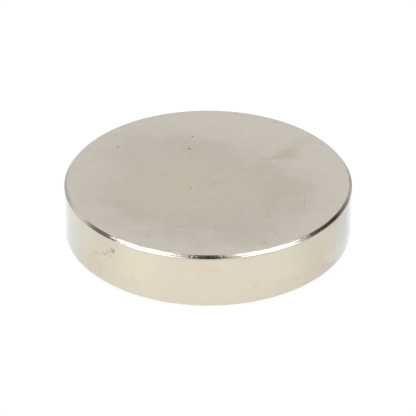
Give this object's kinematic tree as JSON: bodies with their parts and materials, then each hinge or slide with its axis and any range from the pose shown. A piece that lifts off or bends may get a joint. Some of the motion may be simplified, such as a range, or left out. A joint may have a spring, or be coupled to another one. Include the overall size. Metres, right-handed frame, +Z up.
{
  "type": "disc magnet",
  "caption": "Nickel-plated disc magnet: a plain round block with bevelled edges that holds itself to steel, or sits in a bored pocket.",
  "frame": {"origin": "centre of the lower flat face", "axes": "+Z up along the disc's axis, from the lower face to the upper face; the picture's camera looks along +Y, with +X to its right"},
  "size_m": [0.05, 0.05, 0.01],
  "materials": {
    "nickel_plate": "satin nickel plating over a sintered disc, bright on the bevels, with light tarnish, pits and scratches"
  },
  "bodies": {
    "root": {"disc_magnet": "nickel_plate"}
  },
  "joints": []
}
